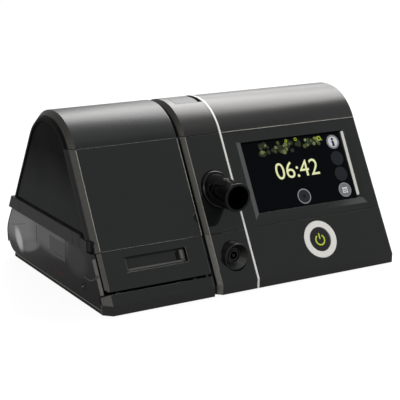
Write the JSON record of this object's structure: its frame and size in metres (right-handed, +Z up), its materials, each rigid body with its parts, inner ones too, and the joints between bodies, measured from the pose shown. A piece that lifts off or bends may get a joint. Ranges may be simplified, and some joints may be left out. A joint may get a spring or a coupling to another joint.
{
  "type": "cpap machine",
  "caption": "Bedside CPAP machine with a touch display, round power button and air outlet, and a clip-on humidifier with a smoked water tub beside it.",
  "frame": {"origin": "centre of the floor under the whole machine", "axes": "+X to the user's right, +Y to the back, +Z up"},
  "size_m": [0.263, 0.1903, 0.1353],
  "materials": {
    "satin_top": "satin",
    "dark_panel": "smooth, softly glossy",
    "case_dark": "fine-grained matt",
    "pale_trim": "smooth",
    "screen_glass": "polished",
    "tube_black": "glossy",
    "smoked_tub": "clear, smoked",
    "rubber": "matt",
    "foam": "open cells",
    "filter_cloth": "pleated",
    "inner_plastic": "moulded",
    "circuit_board": "lacquered",
    "steel": "plain",
    "copper": "wound",
    "card_blue": "smooth"
  },
  "bodies": {
    "blower_unit": {"device_top_cover": "satin_top", "screen_bezel": "dark_panel", "lower_front_panel": "dark_panel", "strip_top_cover": "satin_top", "strip_upper_panel": "dark_panel", "strip_lower_panel": "dark_panel", "accent_trim": "pale_trim", "right_side_panel": "case_dark", "coupling_wall": "case_dark", "device_base": "case_dark", "device_rear_cover": "case_dark", "touch_glass": "screen_glass", "display_module": "inner_plastic", "display_cable": "inner_plastic", "power_light_ring": "pale_trim", "power_switch": "circuit_board", "release_spring": "steel", "main_board": "circuit_board", "board_screws": "steel", "power_supply_board": "circuit_board", "mains_inlet": "tube_black", "speaker": "inner_plastic", "sd_card_slot": "steel", "outlet_tube": "tube_black", "outlet_collar": "tube_black", "return_duct": "inner_plastic", "outlet_seal": "rubber", "tube_heater_socket": "tube_black", "volute_lower": "inner_plastic", "volute_cover": "inner_plastic", "motor_bearings": "steel", "motor_stator": "copper", "blower_isolators": "rubber", "supply_duct": "inner_plastic", "intake_foam": "foam", "air_filter": "filter_cloth", "device_feet": "rubber"},
    "power_key": {"power_button": "tube_black"},
    "release_key": {"release_button": "satin_top", "release_latch": "inner_plastic"},
    "memory_card": {"sd_card": "card_blue"},
    "rotor": {"impeller": "pale_trim", "motor_shaft": "steel", "motor_rotor": "steel"},
    "filter_door": {"filter_cover": "case_dark"},
    "humidifier": {"humidifier_base": "case_dark", "water_tub": "smoked_tub", "tub_rim": "case_dark", "tub_seal": "rubber", "heater_rod": "steel", "flap_pins": "steel", "rim_clip": "case_dark", "humidifier_feet": "rubber"},
    "humidifier_housing": {"humidifier_top_cover": "satin_top", "humidifier_front_panel": "dark_panel", "humidifier_side_wall": "case_dark", "humidifier_inner_wall": "case_dark", "port_gaskets": "rubber"},
    "flap": {"fill_flap": "dark_panel"}
  },
  "joints": [
    {"name": "power_press", "type": "slide", "parent": "blower_unit", "child": "power_key", "axis": [0, 0.8721, -0.4894], "range_m": [0, 0.001], "stiffness_N_per_m": 600, "springref_m": -0.0005},
    {"name": "release_press", "type": "slide", "parent": "blower_unit", "child": "release_key", "axis": [0, 0, -1], "range_m": [0, 0.0025], "stiffness_N_per_m": 500, "springref_m": -0.001, "deforming": ["release_spring"]},
    {"name": "card_slide", "type": "slide", "parent": "blower_unit", "child": "memory_card", "axis": [1, 0, 0], "range_m": [0, 0.012]},
    {"name": "impeller_spin", "type": "hinge", "parent": "blower_unit", "child": "rotor", "pos_m": [0.06, 0.001, 0.03], "axis": [0, 0, 1], "continuous": true},
    {"name": "filter_door_pull", "type": "slide", "parent": "blower_unit", "child": "filter_door", "axis": [0, 0.8518, 0.5238], "range_m": [0, 0.025]},
    {"name": "humidifier_slide", "type": "slide", "parent": "blower_unit", "child": "humidifier", "axis": [-1, 0, 0], "range_m": [0, 0.06]},
    {"name": "housing_lift", "type": "slide", "parent": "humidifier", "child": "humidifier_housing", "axis": [0, 0, 1], "range_m": [0, 0.08]},
    {"name": "flap_hinge", "type": "hinge", "parent": "humidifier", "child": "flap", "pos_m": [0, -0.08696, 0.01682], "axis": [1, 0, 0], "range_deg": [0, 75]}
  ]
}
